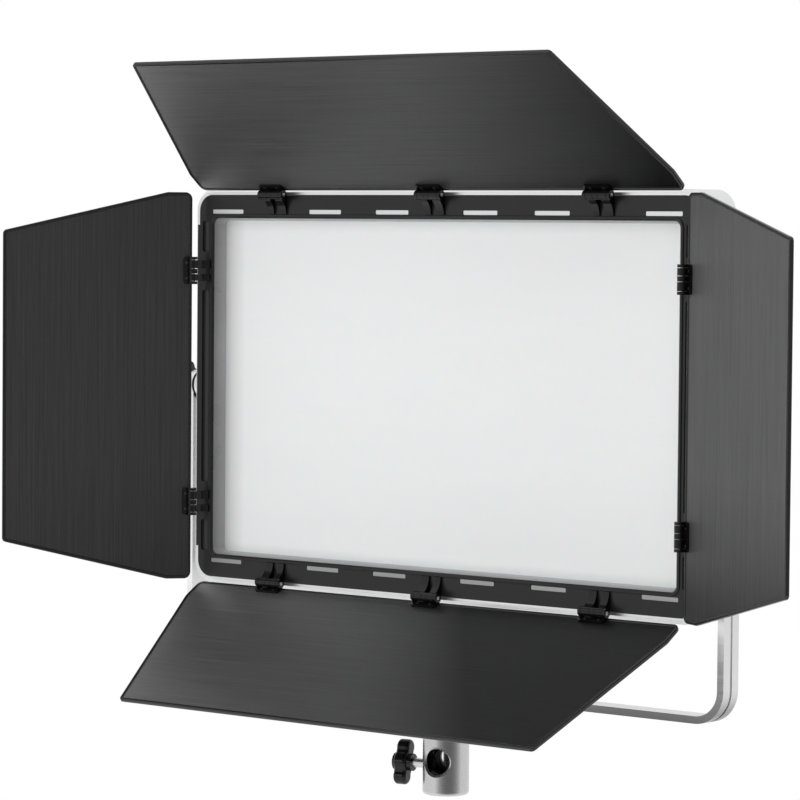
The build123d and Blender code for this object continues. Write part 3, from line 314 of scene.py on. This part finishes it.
def receiver_shade(tree):
    """Painted shade: the receiver's two bores are painted dark for the shade inside them, and its front right
    is painted duller, a painted reflection of the surroundings' darker side.
    """
    x, y, z = split_xyz(tree, coordinates(tree, "Object"))
    toward_shaded_side = along(tree, coordinates(tree, "Normal"), RECEIVER_SHADED_SIDE)
    front = spread(tree, toward_shaded_side, low=1.0, high=0.34, start=0.84, end=0.995)
    radius = calc(tree, "SQRT", calc(tree, "ADD", product(tree, x, x), product(tree, y, y)))
    in_bore = product(
        tree, calc(tree, "LESS_THAN", radius, BORE_RADIUS), calc(tree, "LESS_THAN", z, BORE_TOP)
    )
    return product(tree, front, calc(tree, "SUBTRACT", 1.0, calc(tree, "MULTIPLY", in_bore, BORE_PAINTED_SHADE)))


def frame_shade(tree):
    """Painted shade: the raised bars in the bezel's slots are painted duller than the frame, the lower ones
    most.
    """
    _, y, z = split_xyz(tree, coordinates(tree, "Object"))
    dull = spread(tree, z, low=0.6, high=0.14, start=lamp_low.z + 0.01, end=lamp_high.z - 0.014)
    return calc(tree, "SUBTRACT", 1.0, product(tree, calc(tree, "LESS_THAN", y, SLOT_BAR_FACE), dull))


def yoke_shade(tree):
    """Painted light and shade: the bar's front is painted dull along the bottom and bright up the arms, and
    its undersides are painted dull.
    """
    _, normal_y, normal_z = split_xyz(tree, coordinates(tree, "Normal"))
    front = spread(tree, normal_y, low=1.0, high=0.0, start=-0.95, end=-0.5)
    height = split_xyz(tree, coordinates(tree, "Object"))[2]
    dull = spread(tree, height, low=0.72, high=-0.3, start=YOKE_FOOT, end=YOKE_FOOT + 0.058)
    under = spread(tree, normal_z, low=0.65, high=0.0, start=-0.7, end=-0.02)
    face = calc(tree, "SUBTRACT", 1.0, product(tree, front, dull))
    return product(tree, face, calc(tree, "SUBTRACT", 1.0, under))


# ---------------------------------------------------------------- finishes of the CAD nodes
# The frame's finish carries painted shade on the bars in the bezel's slots.
silver_frame = metal(
    "silver_frame_finish", (0.78, 0.785, 0.79), roughness=0.34, grain=1400.0, contrast=0.05, shade=frame_shade
)
# The yoke's finish carries painted light and shade on its front and undersides.
silver_yoke = metal(
    "silver_yoke_finish", (0.7, 0.7, 0.705), roughness=0.33, stretch=ALONG_X, grain=900.0, contrast=0.07,
    shade=yoke_shade,
)
# The receiver's finish carries painted shade in its bores and on its front right.
cast_silver = metal(
    "cast_silver_finish", (0.53, 0.53, 0.533), roughness=0.27, grain=1100.0, depth=1 * MICRON, contrast=0.03,
    shade=receiver_shade,
)
plain_steel = metal("plain_steel_finish", (0.6, 0.6, 0.61), roughness=0.24, grain=1500.0, contrast=0.12)
sink_metal = metal(
    "sink_finish", (0.68, 0.69, 0.7), roughness=0.4, stretch=ALONG_Z, grain=700.0, contrast=0.12
)

# The bezel's finish carries painted light on its recess walls and side channels.
bezel_plastic = plastic(
    "bezel_finish", (0.012, 0.012, 0.0122), roughness=0.3, grain=1500.0, depth=30 * MICRON, specular=0.28,
    shade=recess_shade,
)
hinge_plastic = plastic(
    "hinge_finish", (0.003, 0.003, 0.003), roughness=0.14, grain=1600.0, depth=10 * MICRON, specular=0.3
)
trim_plastic = plastic(
    "door_trim_finish", (0.004, 0.004, 0.004), roughness=0.2, grain=1500.0, depth=10 * MICRON, specular=0.45
)
gloss_plastic = plastic(
    "gloss_black_finish", (0.004, 0.004, 0.004), roughness=0.16, grain=1200.0, depth=10 * MICRON,
    polish_spread=0.05, specular=0.3,
)
matte_plastic = plastic(
    "matte_black_finish", (0.018, 0.018, 0.0185), roughness=0.48, grain=1100.0, depth=60 * MICRON
)
pod_plastic = plastic("pod_finish", (0.022, 0.022, 0.023), roughness=0.5, grain=800.0, depth=90 * MICRON)
panel_plastic = plastic("panel_finish", (0.03, 0.03, 0.031), roughness=0.38, grain=1300.0, depth=30 * MICRON)
knob_plastic = plastic("knob_finish", (0.014, 0.014, 0.0145), roughness=0.4, grain=1000.0, depth=60 * MICRON)
rubber = plastic(
    "rubber_finish", (0.016, 0.016, 0.016), roughness=0.7, grain=700.0, depth=80 * MICRON,
    polish_spread=0.1, specular=0.3,
)
button_rubber = plastic(
    "button_finish", (0.05, 0.05, 0.052), roughness=0.6, depth=60 * MICRON, polish_spread=0.1, specular=0.35
)
cover_paint = plastic("cover_finish", (0.024, 0.024, 0.025), roughness=0.42, grain=650.0, depth=120 * MICRON)
screw_paint = plastic(
    "black_steel_finish", (0.02, 0.02, 0.021), roughness=0.3, grain=1500.0, depth=10 * MICRON
)
white_plastic = plastic("white_finish", (0.82, 0.82, 0.81), roughness=0.5)
component_plastic = plastic("component_finish", (0.03, 0.03, 0.035), roughness=0.4)
led_resin = plastic("led_finish", (0.85, 0.7, 0.2), roughness=0.2, grain=2000.0, depth=10 * MICRON)

# Painted light: the four doors share one paint but get their own tones and painted sheens for how light falls
# on each, the right door lit brightest.
LINES_X, LINES_Z = (12.0, 1300.0, 1300.0), (1300.0, 1300.0, 12.0)
RIGHT_AND_BACK, UPWARD = (0.77, 0.64, 0), (0, 0, 1)
top_door_paint = door_sheet(
    "top_door_finish", LINES_X, tone=0.022, across=RIGHT_AND_BACK, start=-0.2, end=0.12, low=2.3, high=0.1
)
bottom_door_paint = door_sheet(
    "bottom_door_finish", LINES_X, tone=0.022, across=RIGHT_AND_BACK, start=-0.24, end=0.01, low=3.6, high=0.3
)
left_door_paint = door_sheet(
    "left_door_finish", LINES_Z, tone=0.02, across=UPWARD, start=0.13, end=0.2, low=0.85, high=1.0
)
right_door_paint = door_sheet(
    "right_door_finish", LINES_Z, tone=0.042, across=UPWARD, start=0.13, end=0.21, low=0.5, high=1.3
)

FINISHES = (
    (silver_frame, "housing_frame", "pivot_bosses"),
    (silver_yoke, "yoke_bar"),
    (cast_silver, "receiver_body"),
    (plain_steel, "spring_washer", "swivel_bolt", "clamp_screw", "left_lock_bolt", "right_lock_bolt"),
    (plain_steel, "encoder_bodies", "dc_inlet", "bezel_screws", "hinge_pins"),
    (sink_metal, "heat_sink"),
    (bezel_plastic, "front_bezel"),
    (hinge_plastic, "hinge_arms_long", "hinge_arms_side", *(f"{door}_door_leaves" for door in DOORS)),
    (trim_plastic, *(f"{door}_door_trim" for door in DOORS)),
    (gloss_plastic, "clamp_knob", "switch_frame", "power_rocker"),
    (matte_plastic, "swivel_washer", "clamp_pad", "left_lock_knob", "right_lock_knob"),
    (pod_plastic, "electronics_housing"),
    (panel_plastic, "control_panel"),
    (knob_plastic, *KNOBS),
    (rubber, "yoke_washers", "diffuser_gasket"),
    (button_rubber, "mode_button", "menu_button"),
    (cover_paint, "rear_cover"),
    (screw_paint, "rear_screws", *(f"{door}_door_rivets" for door in DOORS)),
    (white_plastic, "mixing_frame"),
    (component_plastic, "driver_components", "display_module"),
    (led_resin, "led_packages"),
    (diffuser_sheet(), "diffuser"),
    (circuit_board("led_board_finish", (0.8, 0.81, 0.8)), "led_board"),
    (circuit_board("driver_board_finish", (0.03, 0.16, 0.06)), "driver_board"),
    (circuit_board("control_board_finish", (0.02, 0.12, 0.05)), "control_board"),
    (glass_pane(), "display_window"),
    (top_door_paint, "top_door_panel"),
    (bottom_door_paint, "bottom_door_panel"),
    (left_door_paint, "left_door_panel"),
    (right_door_paint, "right_door_panel"),
)
for material, *names in FINISHES:
    for name in names:
        slots = nodes[name].data.materials
        slots.clear()
        slots.append(material)


# ---------------------------------------------------------------- small pieces built here
EDGE_BREAK = 0.2  # of a block's thinnest side


def add_block(bm, centre, sides, turn=0.0):
    """A small block with its edges broken, turned about Y."""
    made = bmesh.ops.create_cube(bm, size=1.0)["verts"]
    bmesh.ops.scale(bm, verts=made, vec=sides)
    edges = list({edge for vert in made for edge in vert.link_edges})
    bevelled = bmesh.ops.bevel(bm, geom=edges, offset=EDGE_BREAK * min(sides), segments=2, affect="EDGES")
    made = list({vert for face in bevelled["faces"] for vert in face.verts})
    bmesh.ops.rotate(bm, verts=made, cent=(0, 0, 0), matrix=Matrix.Rotation(turn, 3, "Y"))
    bmesh.ops.translate(bm, verts=made, vec=centre)


def block_piece(name, blocks, material, body):
    """A new piece made of blocks, each with a centre, sides and perhaps a turn, that rides on a body."""
    mesh = bpy.data.meshes.new(name)
    bm = bmesh.new()
    for block in blocks:
        add_block(bm, *block)
    bmesh.ops.recalc_face_normals(bm, faces=bm.faces)
    bm.to_mesh(mesh)
    bm.free()
    mesh.materials.append(material)
    piece = bpy.data.objects.new(name, mesh)
    scene.collection.objects.link(piece)
    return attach(piece, body)


MARK_THICKNESS = 0.0004  # half of it is sunk into the face that it is printed on
TICKS, TICK_SWEEP, TICKS_PER_LONG = 11, math.radians(270), 5
TICK_WIDTH, LONG_TICK, SHORT_TICK, TICK_GAP = 0.0004, 0.0022, 0.0014, 0.0022
POINTER_RISE, POINTER_SIDES = 0.0065, (0.0009, 0.0008, 0.0055)
panel_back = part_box("control_panel")[1].y


def dial_marks(centre, radius):
    """Blocks for the ticks around a knob."""
    for i in range(TICKS):
        turn = TICK_SWEEP * (i / (TICKS - 1) - 0.5)
        length = SHORT_TICK if i % TICKS_PER_LONG else LONG_TICK
        reach = radius + length / 2
        place = (centre.x + reach * math.sin(turn), panel_back, centre.z + reach * math.cos(turn))
        yield place, (TICK_WIDTH, MARK_THICKNESS, length), turn


mark_ink = painted_mark()
for knob in KNOBS:
    low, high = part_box(knob)
    centre = (low + high) / 2
    ticks = dial_marks(centre, (high.x - low.x) / 2 + TICK_GAP)
    block_piece(f"{knob}_marks", ticks, mark_ink, "lamp")
    pointer_place = (centre.x, high.y - POINTER_SIDES[1] / 2, centre.z + POINTER_RISE)
    block_piece(f"{knob}_pointer", [(pointer_place, POINTER_SIDES)], mark_ink, knob)

BARS, BAR_PITCH, BAR_WIDTH, BAR_HEIGHT, BAR_GROWTH = 10, 0.0036, 0.0022, 0.004, 0.0006
BARS_LEFT, BARS_FOOT = 0.011, 0.006
DASHES, DASH_PITCH, DASH_SIDES = 4, 0.0095, (0.006, MARK_THICKNESS, 0.0018)
DASHES_LEFT, DASHES_DROP = 0.013, 0.0055
LINE_SIDES, LINE_DROP = (0.04, MARK_THICKNESS, 0.0005), 0.0085
low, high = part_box("display_window")


def level_bars():
    """Blocks for a row of bars, each taller than the one before."""
    for i in range(BARS):
        height = BAR_HEIGHT + BAR_GROWTH * i
        place = (low.x + BARS_LEFT + i * BAR_PITCH, high.y, low.z + BARS_FOOT + height / 2)
        yield place, (BAR_WIDTH, MARK_THICKNESS, height)


def status_line():
    """Blocks for a thin line with a row of dashes over it."""
    yield ((low.x + high.x) / 2, high.y, high.z - LINE_DROP), LINE_SIDES
    for i in range(DASHES):
        yield (low.x + DASHES_LEFT + i * DASH_PITCH, high.y, high.z - DASHES_DROP), DASH_SIDES


screen_light = glow("display_glow", (0.35, 0.75, 0.85), strength=0.6)
block_piece("display_level_bars", level_bars(), screen_light, "lamp")
block_piece("display_status_line", status_line(), screen_light, "lamp")


# ---------------------------------------------------------------- floor, light and camera
def pale_floor():
    mesh = bpy.data.meshes.new("floor")
    bm = bmesh.new()
    bmesh.ops.create_circle(bm, cap_ends=True, segments=FLOOR_SIDES, radius=FLOOR_RADIUS)
    bmesh.ops.translate(bm, verts=bm.verts, vec=(0, 0, FLOOR_Z))
    bm.to_mesh(mesh)
    bm.free()
    floor = bpy.data.objects.new("floor", mesh)
    scene.collection.objects.link(floor)
    paint, tree, shader = start_material("floor_paint")
    mottle = place_noise(tree, EVEN, scale=3.0)
    tint(tree, shader, (0.92, 0.92, 0.92), spread(tree, mottle, 0.98, 1.0))
    shader.inputs["Roughness"].default_value = 0.8
    shader.inputs["Emission Color"].default_value = (1, 1, 1, 1)
    shader.inputs["Emission Strength"].default_value = FLOOR_GLOW
    mesh.materials.append(paint)


def soft_surroundings():
    """Pale surroundings that fall to grey on one side, as a studio does past its lit walls."""
    world = bpy.data.worlds.new("studio")
    scene.world = world
    world.use_nodes = True
    tree = world.node_tree
    background = tree.nodes["Background"]
    toward_dark = along(tree, coordinates(tree, "Generated"), outward(DARK_AZIMUTH))
    shade = spread(tree, toward_dark, BRIGHT_SIDE, DARK_SIDE, DARK_BEGINS, DARK_FULL)
    tree.links.new(shade, background.inputs["Strength"])
    background.inputs["Color"].default_value = (1, 1, 1, 1)


def softbox(name, azimuth, elevation, distance, width, height, power):
    """An area light that looks at the middle of the lamp."""
    data = bpy.data.lights.new(name, "AREA")
    data.shape = "RECTANGLE"
    data.size = width
    data.size_y = height
    data.energy = power
    light = bpy.data.objects.new(name, data)
    scene.collection.objects.link(light)
    out = outward(azimuth, elevation)
    light.location = LIGHT_TARGET + distance * out
    light.rotation_euler = (-out).to_track_quat("-Z", "Y").to_euler()


def photo_camera():
    """A camera at the photograph's viewing angle."""
    data = bpy.data.cameras.new("camera")
    data.lens = CAMERA_LENS
    data.sensor_width = SENSOR_WIDTH
    camera = bpy.data.objects.new("camera", data)
    scene.collection.objects.link(camera)
    looking = -outward(CAMERA_AZIMUTH, CAMERA_ELEVATION)
    facing = looking.to_track_quat("-Z", "Y").to_matrix().to_4x4()
    roll = Matrix.Rotation(math.radians(CAMERA_ROLL), 4, "Z")
    camera.matrix_world = Matrix.Translation(CAMERA_PLACE) @ facing @ roll
    scene.camera = camera


pale_floor()
soft_surroundings()
softbox("key_softbox", azimuth=-12.0, elevation=22.0, distance=2.2, width=1.0, height=1.4, power=5.0)
softbox("fill_softbox", azimuth=20.0, elevation=60.0, distance=2.4, width=1.6, height=1.0, power=2.0)
softbox("strip_light", azimuth=18.0, elevation=48.0, distance=2.0, width=1.6, height=0.06, power=2.0)
photo_camera()
scene.view_settings.view_transform = "Standard"
